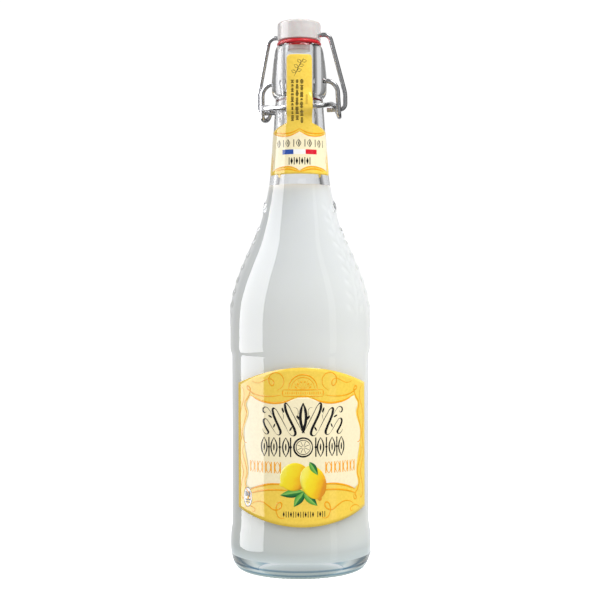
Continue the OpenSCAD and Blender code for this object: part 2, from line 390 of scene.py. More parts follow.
# %% Paper and inks
def printed(name, shade, drift=4, gloss=0.06):
    """Coated label paper or the ink on it: its shade drifts a little, under a clear varnish."""
    material = principled(name, colour(*shade), Roughness=0.5, IOR=1.5, Coat_Weight=0.9,
                          Coat_Roughness=gloss, Specular_IOR_Level=0.0)
    fibre = add_noise(material, 700, 5.0)
    low = colour(*(max(0, v - drift) for v in shade))
    high = colour(*(min(255, v + drift) for v in shade))
    ramp_between(material, fibre.outputs["Fac"], "Base Color", ((0.35, low), (0.65, high)))
    add_bump(material, fibre.outputs["Fac"], 0.04, 0.0001)
    return material


yellow = printed("yellow_paper", (246, 210, 84), 4)
cream = printed("cream_print", (250, 238, 200), 3)
orange = printed("orange_ink", (248, 168, 24), 5)
black = printed("black_ink", (16, 15, 18), 3)
white = printed("white_ink", (246, 246, 244), 2)
blue = printed("blue_ink", (48, 84, 168), 6)
red = printed("red_ink", (222, 32, 52), 6)
faint = printed("faint_ink", (196, 158, 62), 5)


def painted(name, turn, stops):
    """Ink in several shades, from one side of each printed fruit or leaf to the other."""
    material = principled(name, stops[0][1], Roughness=0.5, IOR=1.5, Coat_Weight=0.9,
                          Coat_Roughness=0.06, Specular_IOR_Level=0.0)
    tree = material.node_tree
    coords = tree.nodes.new("ShaderNodeTexCoord")
    mapping = tree.nodes.new("ShaderNodeMapping")
    mapping.inputs["Location"].default_value = (0.5, 0, 0)
    mapping.inputs["Rotation"].default_value = (0, 0, math.radians(turn))
    mapping.inputs["Scale"].default_value = (0.5, 0.5, 0.5)
    blend = tree.nodes.new("ShaderNodeTexGradient")
    tree.links.new(coords.outputs["UV"], mapping.inputs["Vector"])
    tree.links.new(mapping.outputs["Vector"], blend.inputs["Vector"])
    pores = add_noise(material, 1400, 2.0)
    mottle = tree.nodes.new("ShaderNodeMath")
    mottle.operation = "MULTIPLY_ADD"
    mottle.inputs[1].default_value = 0.22
    patch = add_noise(material, 420, 4.0)
    tree.links.new(patch.outputs["Fac"], mottle.inputs[0])
    tree.links.new(blend.outputs["Fac"], mottle.inputs[2])
    ramp_between(material, mottle.outputs["Value"], "Base Color", stops)
    add_bump(material, pores.outputs["Fac"], 0.12, 0.0001)
    return material


lemon_ink = painted("lemon_ink", 28, ((0.12, colour(252, 242, 110)), (0.36, colour(248, 228, 46)),
                                      (0.66, colour(246, 212, 34)), (0.86, colour(242, 182, 30)),
                                      (1.0, colour(224, 146, 36))))
leaf_ink = painted("leaf_ink", 90, ((0.16, colour(20, 88, 52)), (0.55, colour(52, 132, 58)),
                                    (0.60, colour(140, 196, 96)), (0.98, colour(84, 164, 62))))

# %% Floor
floor_look = principled("pale_floor", (0.86, 0.86, 0.86, 1), Roughness=0.9)
floor_shader = floor_look.node_tree.nodes["Principled BSDF"]
floor_shader.inputs["Emission Color"].default_value = (1, 1, 1, 1)
floor_path = floor_look.node_tree.nodes.new("ShaderNodeLightPath")
floor_glow = floor_look.node_tree.nodes.new("ShaderNodeMapRange")
floor_glow.inputs["To Min"].default_value = 0.0
floor_glow.inputs["To Max"].default_value = 0.7
floor_look.node_tree.links.new(floor_path.outputs["Is Camera Ray"], floor_glow.inputs["Value"])
floor_look.node_tree.links.new(floor_glow.outputs["Result"], floor_shader.inputs["Emission Strength"])
bm = bmesh.new()
bmesh.ops.create_grid(bm, x_segments=1, y_segments=1, size=6.0)
floor_mesh = bpy.data.meshes.new("floor")
bm.to_mesh(floor_mesh)
bm.free()
floor_mesh.materials.append(floor_look)
floor = bpy.data.objects.new("floor", floor_mesh)
floor.location.z = -0.0002
bpy.context.scene.collection.objects.link(floor)
floor.visible_glossy = False
floor.visible_transmission = False
floor.visible_diffuse = False
print("finishes:", len(bpy.data.materials))

# %% [markdown]
# ## The glass
# Glass looks right only if it has both of its surfaces: light bends where it enters and again
# where it leaves. So one outline runs up the outside, over the lip and down the inside, and a spin
# round the axis makes the whole shell. The raised ornament is moved out of the finished shell.


# %% Outline of the glass
def glass_outside():
    """Points of the outside, from the middle of the base up to the lip."""
    return (
        curve((0, 5.5), (14, 5.5), (24, 4.5), (31.2, 0), 14)
        + curve((34.8, 0), (body_r - 1.9, 0.6), (body_r, 6.5), (body_r, 14), 14)
        + curve((body_r, 15), (body_r, 23.5), (panel_r, 23.5), (panel_r, 27), 10)
        + [(panel_r, 27 + 94.6 * i / 12) for i in range(1, 12)]
        + curve((panel_r, 121.6), (panel_r, 123.6), (body_r, 123.8), (body_r, 127), 10)
        + [(body_r - 0.05, 134)]
        + curve((body_r - 0.1, shoulder_z), (body_r - 0.1, shoulder_z + 22), (33.1, bend_z - 15),
                (26.5, bend_z), 64)
        + curve((26.5, bend_z), (21.2, bend_z + 12), (17, neck_z - 15), (neck_r, neck_z), 52)[1:]
        + [(neck_r + (neck_top_r - neck_r) * i / 14, neck_z + (collar_z - 0.6 - neck_z) * i / 14)
           for i in range(1, 14)]
        + curve((neck_top_r, collar_z - 0.6), (14.6, collar_z), (15.9, collar_z + 1.3),
                (15.9, collar_z + 4.3), 10)
        + curve((15.9, collar_z + 9.8), (15.6, collar_z + 16.8), (14.9, lip_z - 10),
                (14.4, lip_z - 6), 14)
        + curve((14.4, lip_z - 6), (13.9, lip_z - 2.2), (13.1, lip_z), (11.4, lip_z), 12)[1:]
    )


def glass_inside():
    """Points of the inside, from the lip down to the middle of the floor."""
    return (
        curve((9.9, lip_z), (8.9, lip_z - 0.6), (mouth_r, lip_z - 1.8), (mouth_r, lip_z - 3.4), 8)
        + [(mouth_r + 0.15 * i / 8, lip_z - 3.4 - (lip_z - 3.4 - collar_z) * i / 8)
           for i in range(1, 9)]
        + [(8.4 + 1.8 * i / 10, collar_z - (collar_z - neck_z) * i / 10) for i in range(1, 10)]
        + curve((10.2, neck_z), (11.6, neck_z - 18), (18.4, bend_z + 10), (23.5, bend_z - 2), 20)
        + curve((23.5, bend_z - 2), (30.2, bend_z - 17), (bore_r, shoulder_z + 21),
                (bore_r, shoulder_z), 20)[1:]
        + [(bore_r, shoulder_z - (shoulder_z - 18) * i / 8) for i in range(1, 8)]
        + curve((bore_r, 18), (bore_r, 11), (33.5, 7.6), (28, 8.4), 12)
        + curve((28, 8.4), (20, 9.6), (14, 12.5), (0, 12.5), 8)[1:]
    )


outside = glass_outside()
inside = glass_inside()
glass_steps = 256
bm = turned(outside + inside, glass_steps)
print("glass shell:", len(bm.verts), "points")


# %% Raised ornament
underside_points = 15


def surface_r(z):
    """Radius of the outside of the glass at height z."""
    side_wall = outside[underside_points:]
    for (r0, z0), (r1, z1) in zip(side_wall, side_wall[1:]):
        if z0 <= z <= z1 and z1 > z0:
            return r0 + (r1 - r0) * (z - z0) / (z1 - z0)
    return neck_top_r


class Stroke:
    """One raised drop: where it sits on the glass, how long and wide it is and how it leans."""

    def __init__(self, turn, z, length, width, lean, height):
        self.angle = front_angle + math.radians(turn)
        self.z = z
        self.r = surface_r(z)
        self.length, self.width, self.height = length, width, height
        self.along = (math.sin(math.radians(lean)), math.cos(math.radians(lean)))

    def rise(self, angle, z):
        across = math.remainder(angle - self.angle, 2 * math.pi) * self.r
        up = z - self.z
        u = (across * self.along[0] + up * self.along[1]) / self.length
        v = (across * self.along[1] - up * self.along[0]) / self.width
        d = u * u + v * v
        return self.height * (1 - d) ** 2 * (1 + 2 * d) if d < 1 else 0.0


def spray(turn, z, side):
    """A leafy spray that climbs the shoulder: a stem with pairs of leaves and a fan on top."""
    strokes = []
    for i in range(9):
        height = z + 7.2 * i
        bow = turn + side * 3.0 * math.sin(i / 8 * math.pi)
        size = 1.0 - 0.05 * i
        strokes.append(Stroke(bow, height, 5.2, 1.5, side * 8 - side * 2 * i, 0.7))
        for lean in (-52, 52):
            shift = math.degrees(5.6 * size / surface_r(height)) * (1 if lean > 0 else -1)
            strokes.append(Stroke(bow + shift, height + 3, 5.2 * size, 2.0 * size, lean, 1.1))
    for lean in (-60, -30, 0, 30, 60):
        shift = math.degrees(6.5 * math.sin(math.radians(lean)) / surface_r(z + 72))
        lift = 6.5 * math.cos(math.radians(lean))
        strokes.append(Stroke(turn + shift, z + 68 + lift, 3.6, 1.4, lean, 1.0))
    return strokes


ornament = []
for side in (-1, 1):
    ornament += spray(side * 88, 134, side)
    ornament += spray(side * 54, 146, side) if side > 0 else []
    ornament += spray(side * 132, 140, side)
lug = Stroke(86, 8.5, 2.2, 2.6, 0, 0.9)
moved = 0
for vert in bm.verts:
    x, y, z = vert.co
    r = math.hypot(x, y)
    if r < 1 or abs(r - surface_r(z)) > 0.01 or z > collar_z - 2 or z < 0.01:
        continue
    angle = math.atan2(y, x)
    rise = 0.0
    if 128 < z < 214:
        rise = max((s.rise(angle, z) for s in ornament), default=0.0)
    if z < 12:
        rise = max(rise, lug.rise(angle, z) if r < body_r else 0.0)
    if rise > 0:
        room = body_r - r if z < 126 or r > 40 else 1.0
        scale = 1 + min(rise, max(room, 0.0)) / r
        vert.co.x *= scale
        vert.co.y *= scale
        moved += 1
print("raised ornament moves", moved, "points")

# %% Knurls on the bearing edge
knurls = 90
knurl_depth = 0.22
knurled = 0
for vert in bm.verts:
    x, y, z = vert.co
    r = math.hypot(x, y)
    if 34.9 < r < 37.5 and z < 1.8 and abs(vert.normal.z) > 0.3:
        wave = 0.5 + 0.5 * math.cos(knurls * math.atan2(y, x))
        vert.co.z = max(0.0, z - knurl_depth * wave)
        knurled += 1
print("knurls move", knurled, "points")
bottle_piece = finish_mesh(bm, "glass_bottle", "bottle", glass)
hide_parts("bottle")
bottle_piece.visible_shadow = False
bottle_piece.visible_diffuse = False


# %% Dimples for the lever's ends
pivot_z = lip_z - 21.3
dimple_r = 1.45
dimple_middle = 15.6
cutters = []
for side in (-1, 1):
    bm = bmesh.new()
    bmesh.ops.create_cone(bm, cap_ends=True, segments=48, radius1=dimple_r, radius2=dimple_r,
                          depth=6.0)
    bmesh.ops.rotate(bm, verts=bm.verts, cent=(0, 0, 0), matrix=Matrix.Rotation(math.pi / 2, 3, "Y"))
    bmesh.ops.translate(bm, verts=bm.verts, vec=(side * dimple_middle, 0, pivot_z))
    bmesh.ops.scale(bm, vec=(MM, MM, MM), verts=bm.verts)
    cutter_mesh = bpy.data.meshes.new("dimple_cutter")
    bm.to_mesh(cutter_mesh)
    bm.free()
    cutter = bpy.data.objects.new("dimple_cutter", cutter_mesh)
    bpy.context.scene.collection.objects.link(cutter)
    cutters.append(cutter)
    cut = bottle_piece.modifiers.new("dimple", "BOOLEAN")
    cut.operation = "DIFFERENCE"
    cut.solver = "EXACT"
    cut.object = cutter
bpy.context.view_layer.update()
cut_mesh = bpy.data.meshes.new_from_object(bottle_piece.evaluated_get(
    bpy.context.evaluated_depsgraph_get()))
bottle_piece.modifiers.clear()
bottle_piece.data = cut_mesh
for cutter in cutters:
    bpy.data.objects.remove(cutter)
print("glass after the dimples:", len(cut_mesh.polygons), "faces")

# %% [markdown]
# ## The drink
# A cloudy drink fills the glass to the start of the neck. Its skin reaches a hair into the glass,
# so there is no film of air between them, and the glass magnifies it right out to its edge.

# %% Drink
floor_part = [p for p in reversed(inside) if p[1] < drink_z - 3]
wet = [(r + 0.06 if r > 0 else 0.0, z - 0.05) for r, z in floor_part]
top_r = min(r for r, z in inside if z < drink_z and z > 100) - 0.1
wet += [(top_r + 0.06, drink_z), (top_r - 0.2, drink_z + 0.25), (top_r - 0.8, drink_z - 0.5),
        (top_r - 2.2, drink_z - 0.8), (0, drink_z - 0.8)]
bm = turned(wet, 128)
finish_mesh(bm, "drink", "bottle", drink_look)
print("drink fills to", drink_z, "mm")

# %% [markdown]
# ## Printed paper
# A label is flat paper bent round the glass. So each sheet is drawn flat, with x round the glass
# and y up it, and one function bends it into place. The prints are thin raised layers of ink made
# in the same flat drawing, so they stay crisp from close by and need no image. Pen strokes are
# curves with a swelling thickness; spots are small flat shapes.

# %% From flat paper to the glass
gap = 0.04
paper = 0.14
ink = 0.02


def on_body(x, y, lift):
    """A point of the body label."""
    r = panel_r + gap + lift
    angle = label_angle + x / panel_r
    return Vector((r * math.cos(angle), r * math.sin(angle), y))


eye_z = lip_z - 37.4
lever_front = 16.4
strip_side = 5.4
strip_bow = 88
bar_cover = 0.85
strip_rows = (
    (eye_z - 5.4, surface_r(eye_z - 5.4) + 0.12, 0.0),
    (eye_z - 1.4, 16.2, 1.0),
    (eye_z + 0.6, 16.2, 1.0),
    (collar_z + 3.6, 16.0, 0.0),
    (collar_z + 9.4, 16.0, 0.0),
    (collar_z + 15, 15.6, 0.0),
    (collar_z + 19, 15.2, 0.0),
    (collar_z + 23.2, 14.85, 0.0),
)


def strip_row(z):
    """Radius of the neck paper at height z, and how far the lever's bar draws it flat."""
    if z <= strip_rows[0][0]:
        return surface_r(z) + 0.12, 0.0
    for (z0, r0, flat0), (z1, r1, flat1) in zip(strip_rows, strip_rows[1:]):
        if z <= z1:
            t = (z - z0) / (z1 - z0)
            soft = t * t * (3 - 2 * t)
            return r0 + (r1 - r0) * t, flat0 + (flat1 - flat0) * soft
    return strip_rows[-1][1], 0.0


def on_neck(x, y, lift):
    """A point of the neck label and of the strip that goes up from it over the lever's bar."""
    r, flat = strip_row(y)
    angle = front_angle + x / r
    round_place = Vector(((r + lift) * math.cos(angle), (r + lift) * math.sin(angle), y))
    side = strip_side + x
    flat_place = Vector((side, side * side / strip_bow - lever_front - bar_cover - lift, y))
    return round_place.lerp(flat_place, flat)


def bend_on(bm, place, lift):
    """Bends a flat drawing into place. Its third coordinate is height above the paper."""
    for vert in bm.verts:
        vert.co = place(vert.co.x, vert.co.y, lift + vert.co.z)
    return bm


# %% Flat sheets
def flat_sheet(columns, rows, shape):
    """A grid whose points go where shape(s, t) says, with s and t from 0 to 1."""
    bm = bmesh.new()
    bmesh.ops.create_grid(bm, x_segments=columns, y_segments=rows, size=1)
    for vert in bm.verts:
        x, y = shape((vert.co.x + 1) / 2, (vert.co.y + 1) / 2)
        vert.co = (x, y, 0)
    return bm


def thicken(bm, thickness):
    """Gives a bent drawing its thickness, outwards. A drawing's faces all look outwards."""
    bm.normal_update()
    bmesh.ops.solidify(bm, geom=bm.faces[:], thickness=-thickness)
    bmesh.ops.recalc_face_normals(bm, faces=bm.faces)
    return bm


def ease(t):
    """Goes from 0 to 1 as t does, starting and ending level."""
    return t * t * (3 - 2 * t)


def wavy(points, at):
    """A soft wave through (place, value) points, level at each of them."""
    for (p0, v0), (p1, v1) in zip(points, points[1:]):
        if at <= p1:
            return v0 + (v1 - v0) * ease(max(0.0, (at - p0) / (p1 - p0)))
    return points[-1][1]


# %% Pen strokes and spots
def pen_strokes(strokes, pen=False):
    """A bmesh of flat tapered strokes. Each is a thickness and its points; a pen presses down."""
    data = bpy.data.curves.new("strokes", "CURVE")
    data.dimensions = "3D"
    data.resolution_u = 8
    data.bevel_depth = 1.0
    data.bevel_resolution = 1
    data.use_fill_caps = True
    for width, points in strokes:
        spline = data.splines.new("BEZIER")
        spline.bezier_points.add(len(points) - 1)
        last = len(points) - 1
        for i, (x, y) in enumerate(points):
            knot = spline.bezier_points[i]
            knot.co = (x, y, 0)
            press = 0.35 + 0.65 * math.sin(math.pi * i / last) ** 0.6
            if pen:
                before, after = points[max(i - 1, 0)], points[min(i + 1, last)]
                way = Vector((after[0] - before[0], after[1] - before[1])).normalized()
                press = (0.26 + 0.74 * max(0.0, -way.y) ** 1.5) * min(1.0, 0.3 + min(i, last - i))
            knot.radius = width / 2 * press
        for knot in spline.bezier_points:
            knot.handle_left_type = "AUTO"
            knot.handle_right_type = "AUTO"
    drawing = bpy.data.objects.new("strokes", data)
    bpy.context.scene.collection.objects.link(drawing)
    bpy.context.view_layer.update()
    mesh = bpy.data.meshes.new_from_object(drawing.evaluated_get(
        bpy.context.evaluated_depsgraph_get()))
    bm = bmesh.new()
    bm.from_mesh(mesh)
    bpy.data.objects.remove(drawing)
    bpy.data.meshes.remove(mesh)
    bmesh.ops.scale(bm, vec=(1, 1, 0.04), verts=bm.verts)
    bmesh.ops.recalc_face_normals(bm, faces=bm.faces)
    return bm


def spot(bm, x, y, width, height, sides=4, turn=0.0):
    """Adds a flat shape: a lozenge with 4 sides, an oval with many."""
    made = bmesh.ops.create_circle(bm, cap_ends=True, segments=sides, radius=1)
    verts = made["verts"]
    bmesh.ops.scale(bm, vec=(width / 2, height / 2, 1), verts=verts)
    bmesh.ops.rotate(bm, verts=verts, cent=(0, 0, 0), matrix=Matrix.Rotation(math.radians(turn), 3, "Z"))
    bmesh.ops.translate(bm, verts=verts, vec=(x, y, 0))


def bar(bm, x, y, width, height, turn=0.0):
    """Adds a flat upright bar."""
    made = bmesh.ops.create_grid(bm, x_segments=max(1, round(width)), y_segments=1, size=0.5)
    verts = made["verts"]
    bmesh.ops.scale(bm, vec=(width, height, 1), verts=verts)
    bmesh.ops.rotate(bm, verts=verts, cent=(0, 0, 0), matrix=Matrix.Rotation(math.radians(turn), 3, "Z"))
    bmesh.ops.translate(bm, verts=verts, vec=(x, y, 0))


def both_sides(strokes):
    """Strokes and their mirror images."""
    return list(strokes) + [(width, [(-x, y) for x, y in points]) for width, points in strokes]


def print_strokes(name, strokes, place, lift, material, pen=False):
    bm = bend_on(pen_strokes(strokes, pen), place, paper + lift)
    piece = finish_mesh(bm, name, "bottle", material)
    print(name, len(piece.data.polygons), "faces")
    return piece


def print_spots(name, bm, place, lift, material):
    bm = thicken(bend_on(bm, place, paper + lift), ink)
    piece = finish_mesh(bm, name, "bottle", material, smooth=False)
    print(name, len(piece.data.polygons), "faces")
    return piece


# %% [markdown]
# ## The body label
# The sheet has straight sides and an arched top and bottom. A cream panel with wavy sides lies on
# the yellow. Round it run orange flourishes, and on it a pen-drawn scroll, a frieze of bars and
# lozenges with a citrus wheel, two lemons and their leaves.

# %% Sheet and cream panel
half_label = 44.3
side_low, side_high = 37.4, 107.4


def arch(x, rise):
    """Height of an arched edge over its ends, at x round the glass."""
    half = panel_r * math.sin(half_label / panel_r)
    radius = (half * half + rise * rise) / (2 * rise)
    across = panel_r * math.sin(x / panel_r)
    return rise - radius + math.sqrt(radius * radius - across * across)


def label_shape(s, t):
    x = half_label * (2 * s - 1)
    low = side_low - arch(x, 8.0)
    high = side_high + arch(x, 9.6)
    return x, low + (high - low) * t


panel_side = ((48.6, 33.2), (52.4, 36.0), (58, 34.2), (80.7, 38.3), (91.6, 34.0), (96, 35.7),
              (100.7, 32.6))


panel_low, panel_high = 48.6, 100.7


def panel_shape(s, t):
    y = panel_low + (panel_high - panel_low) * t
    x = wavy(panel_side, y) * (2 * s - 1)
    high = 97.6 + min(3.1 * ((abs(x) - 17) / 14.5) ** 2, 3.0)
    low = 52.9 - 4.3 * max(0.0, (abs(x) - 15) / 18) ** 1.7
    return x, low + (high - low) * t


sheet = thicken(bend_on(flat_sheet(96, 40, label_shape), on_body, 0), paper)
body_label = finish_mesh(sheet, "body_label", "bottle", yellow)
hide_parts("front_label")
bm = bend_on(flat_sheet(80, 60, panel_shape), on_body, paper + 0.004)
finish_mesh(thicken(bm, ink), "body_label_panel", "bottle", cream)
print("body label", 2 * half_label, "mm round the glass")

# %% Orange flourishes
top_loop = [(14.4, 104.3), (11.5, 106.6), (10.6, 109.8), (11.7, 112.6), (14.0, 114.0),
            (16.7, 113.9), (18.8, 112.3), (19.4, 110.0), (18.4, 107.5), (17.1, 107.0),
            (16.4, 108.2), (17.0, 110.0), (19.3, 110.8), (22.5, 109.6), (26.5, 108.2), (30.8, 109.0)]
top_side = [(12.4, 101.8), (17.4, 101.1), (23.8, 101.1), (29.2, 102.1), (32.9, 103.7), (34.9, 105.1),
            (34.2, 106.0), (32.4, 104.9), (32.6, 102.4), (34.6, 99.5), (37.0, 96.4), (36.6, 93.8),
            (35.6, 91.2), (36.9, 87.0), (39.4, 81.0), (38.8, 77.0), (36.9, 74.6), (35.2, 74.4)]
top_rim = [(5.0, 100.4), (8.8, 98.6), (14.4, 97.4), (20.9, 97.7), (26.7, 99.0), (31.8, 101.2)]
low_side = [(37.4, 73.6), (39.4, 70.2), (37.6, 64.5), (35.6, 60.0), (35.4, 57.0), (37.2, 52.4),
            (35.6, 48.4), (33.2, 45.6), (34.3, 43.6), (33.4, 42.8), (31.9, 44.0), (32.4, 46.6)]
low_rim = [(6.0, 52.8), (13.0, 53.0), (18.2, 52.8), (23.4, 51.8), (28.2, 50.3), (33.0, 48.4)]
low_line = [(6.0, 49.4), (12.4, 49.7), (18.0, 49.6), (24.0, 48.8), (29.6, 47.4), (33.6, 46.0)]
low_loop = [(10.4, 34.4), (13.4, 34.6), (15.0, 37.3), (15.1, 40.6), (13.7, 42.8), (12.3, 42.7),
            (12.1, 41.0), (13.7, 39.2), (16.4, 38.7), (20.0, 40.8), (24.0, 42.6), (28.8, 42.1),
            (31.5, 40.6)]
low_curl = [(37.6, 37.6), (34.4, 39.4), (30.8, 39.2), (29.0, 37.9), (29.8, 36.7), (31.2, 37.0)]
side_wave = [(41.0, 106.0), (38.4, 104.0), (38.0, 99.0), (40.4, 94.0), (42.2, 88.0), (41.4, 82.0),
             (40.6, 77.5), (41.8, 73.0), (42.4, 68.0), (40.4, 62.5), (38.6, 57.5), (40.2, 52.0),
             (41.4, 47.0), (39.6, 43.2), (38.2, 43.4), (38.0, 45.2)]
print_strokes("body_label_flourishes", both_sides([
    (0.66, top_loop), (0.88, top_side), (1.20, top_rim), (0.90, low_side), (1.15, low_rim),
    (0.95, low_line), (0.80, low_loop), (0.62, low_curl), (0.70, side_wave)]),
    on_body, 0.02, orange)

# %% Citrus half slice and its ribbon
slice_y = 105.2


def arc(x, y, radius, start, end, steps=12):
    """Points along a circle, between two angles in degrees."""
    return [(x + radius * math.cos(math.radians(start + (end - start) * i / steps)),
             y + radius * math.sin(math.radians(start + (end - start) * i / steps)))
            for i in range(steps + 1)]


half_slice = [(0.80, arc(0, slice_y, 7.9, 0, 180)), (0.50, arc(0, slice_y, 6.4, 4, 176))]
for i in range(1, 6):
    ray = arc(0, slice_y, 5.6, 30 * i, 30 * i, 1)[0]
    half_slice.append((0.60, [(ray[0] * 0.12, slice_y + 0.3), ray]))
for i in range(6):
    seed = math.radians(15 + 30 * i)
    x, y = 4.1 * math.cos(seed), slice_y + 4.1 * math.sin(seed)
    half_slice.append((1.00, [(x * 0.8, y - 0.7), (x, y), (x * 1.12, y + 0.5)]))
ribbon = [(0.85, [(-11, 104.8), (0, 104.8), (11, 104.8)]),
          (0.85, [(-11, 101.2), (0, 101.2), (11, 101.2)]),
          (0.85, [(-11, 104.8), (-11.3, 103), (-11, 101.2)]),
          (0.85, [(11, 104.8), (11.3, 103), (11, 101.2)])]
print_strokes("body_label_emblem", half_slice + ribbon, on_body, 0.02, orange)
bm = bmesh.new()
for i in range(-8, 9):
    spot(bm, 1.2 * i, 103, 0.7, 1.9 if i % 2 else 1.1)
for side in (-1, 1):
    for i in range(4):
        bar(bm, side * (12.6 + 5.4 * i), 61.9, 0.62, 6.2)
        bar(bm, side * (17.0 + 5.4 * i) - side * 0.9, 61.9, 0.62, 6.2)
print_spots("body_label_orange_marks", bm, on_body, 0.02, orange)

row = []
for side in (-1, 1):
    for i in range(4):
        for bulge in (-1.2, 1.2):
            x = side * (14.4 + 5.4 * i)
            row.append((0.72, [(x, 65.2), (x + bulge, 63.2), (x + bulge, 60.6), (x, 58.7)]))
print_strokes("body_label_orange_row", row, on_body, 0.02, orange)

# %% Pen-drawn scroll
scroll = [
    (1.60, [(0.0, 97.6), (1.2, 93.5), (1.5, 88.5), (0.2, 83.0), (-0.6, 81.0)]),
    (1.50, [(0.6, 82.0), (3.0, 86.6), (6.0, 92.4), (8.4, 96.6), (9.6, 97.4), (9.9, 95.6), (8.7, 91.4),
            (6.3, 86.4), (4.6, 82.6), (4.4, 80.4), (5.8, 79.6), (8.0, 81.4)]),
    (1.50, [(8.0, 81.4), (10.4, 86.0), (13.4, 91.2), (15.6, 94.2), (16.8, 94.4), (16.9, 92.2),
            (15.4, 88.2), (13.4, 84.0), (12.6, 81.2), (13.4, 80.0), (15.2, 80.6)]),
    (1.30, [(15.2, 80.6), (17.4, 83.8), (19.6, 87.0), (21.4, 88.6), (22.6, 88.0), (22.4, 85.8),
            (20.8, 83.0), (19.8, 81.2), (20.6, 80.2), (22.2, 80.9), (23.6, 83.0)]),
    (1.10, [(17.4, 90.6), (19.0, 93.4), (21.0, 95.0), (22.8, 94.4), (22.9, 92.6), (21.6, 92.0),
            (21.0, 93.0)]),
    (0.95, [(4.6, 88.6), (2.8, 91.6), (3.4, 94.6), (5.2, 95.2)]),
    (0.95, [(11.6, 87.6), (10.8, 90.2), (11.8, 92.8)]),
]
print_strokes("body_label_scroll", both_sides(scroll), on_body, 0.035, black, True)
bm = bmesh.new()
for side in (-1, 1):
    for x, y, turn, size in ((2.6, 89.4, -38, 3.4), (11.2, 93.6, -20, 3.0), (18.6, 90.0, -62, 2.6),
                             (6.8, 83.4, 30, 2.6), (16.2, 85.0, 24, 2.4)):
        spot(bm, side * x, y, size * 0.36, size, 12, side * turn)
print_spots("body_label_buds", bm, on_body, 0.035, black)

# %% Frieze with a citrus wheel
wheel_y, tall = 73.3, 10.6
frieze = [(1.05, arc(0, wheel_y, 5.1, 0, 360, 16) + arc(0, wheel_y, 5.1, 22, 22, 1)[:1]),
          (0.45, arc(0, wheel_y, 3.9, 0, 370, 16))]
for i in range(8):
    ray = arc(0, wheel_y, 3.3, 22.5 + 45 * i, 22.5 + 45 * i, 1)[0]
    frieze.append((0.75, [(ray[0] * 0.2, wheel_y + (ray[1] - wheel_y) * 0.2), ray]))
pods = (9.6, 16.4, 22.4)
for side in (-1, 1):
    for x in pods:
        for bow in (1.5, -1.5):
            frieze.append((0.90, [(side * x, wheel_y + tall / 2), (side * (x + bow), wheel_y + 2),
                                  (side * (x + bow), wheel_y - 2), (side * x, wheel_y - tall / 2)]))
print_strokes("body_label_frieze", frieze, on_body, 0.035, black)
bm = bmesh.new()
for side in (-1, 1):
    for x in (6.9, 13.0, 19.4):
        bar(bm, side * x, wheel_y, 0.72, tall)
        spot(bm, side * x, wheel_y, 1.6, 2.6)
    for x in pods:
        spot(bm, side * x, wheel_y, 0.9, 4.0, 10)
for i in range(19):
    x = -12.2 + 1.34 * i
    if i % 3 == 1:
        spot(bm, x, 36.5, 1.1, 3.2)
    elif i % 7:
        bar(bm, x, 36.5, 0.36, 3.2)
print_spots("body_label_black_marks", bm, on_body, 0.035, black)


# %% Lemons and leaves
def lemon_half_width(u):
    """Half width of a lemon along its axis, from -1 at the stalk to 1 at the tip."""
    flesh = math.sqrt(max(0.0, 1 - ((u + 0.07) / 0.93) ** 2))
    tip = 0.17 * math.sqrt(max(0.0, 1 - ((u - 0.87) / 0.13) ** 2))
    return max(flesh, tip)


def leaf_half_width(u):
    """Half width of a leaf along its axis, from -1 to 1, widest just before its middle."""
    return max(0.0, 1 - u * u) * (1 - 0.25 * u)


def fruit(bm, x, y, length, width, turn, half_width, own_axis=False):
    """Adds a rounded print with its shading coordinates, pointing in the direction of turn."""
    made = bmesh.ops.create_grid(bm, x_segments=40, y_segments=12, size=1)
    verts = made["verts"]
    turning = Matrix.Rotation(math.radians(turn), 3, "Z")
    flats = {}
    for vert in verts:
        u = math.sin(vert.co.x * math.pi / 2)
        v = vert.co.y * half_width(u)
        flat = turning @ Vector((u * length / 2, v * width / 2, 0))
        flats[vert] = (vert.co.x, vert.co.y) if own_axis else (flat.x * 2 / width, flat.y * 2 / length)
        vert.co = (x + flat.x, y + flat.y, 0.03 * (1 - vert.co.y ** 2))
    uv = bm.loops.layers.uv.verify()
    for vert in verts:
        for loop in vert.link_loops:
            loop[uv].uv = flats[vert]


def print_fruit(name, bm, lift, material):
    bmesh.ops.remove_doubles(bm, verts=bm.verts, dist=1e-4)
    bend_on(bm, on_body, paper + lift)
    thicken(bm, ink)
    piece = finish_mesh(bm, name, "bottle", material)
    print(name, len(piece.data.polygons), "faces")


bm = bmesh.new()
fruit(bm, -6.4, 48.0, 13.2, 4.6, 190, leaf_half_width, True)
fruit(bm, -2.4, 44.9, 10.2, 4.6, 236, leaf_half_width, True)
fruit(bm, 3.9, 44.8, 10.6, 4.4, -44, leaf_half_width, True)
print_fruit("body_label_lower_leaves", bm, 0.05, leaf_ink)
bm = bmesh.new()
fruit(bm, -5.5, 56.8, 17.6, 15.0, 211, lemon_half_width)
print_fruit("body_label_left_lemon", bm, 0.08, lemon_ink)
bm = bmesh.new()
fruit(bm, 5.8, 53.4, 20.4, 14.0, -69, lemon_half_width)
print_fruit("body_label_right_lemon", bm, 0.11, lemon_ink)
bm = bmesh.new()
fruit(bm, 5.7, 61.6, 8.6, 3.6, -58, leaf_half_width, True)
print_fruit("body_label_top_leaf", bm, 0.15, leaf_ink)

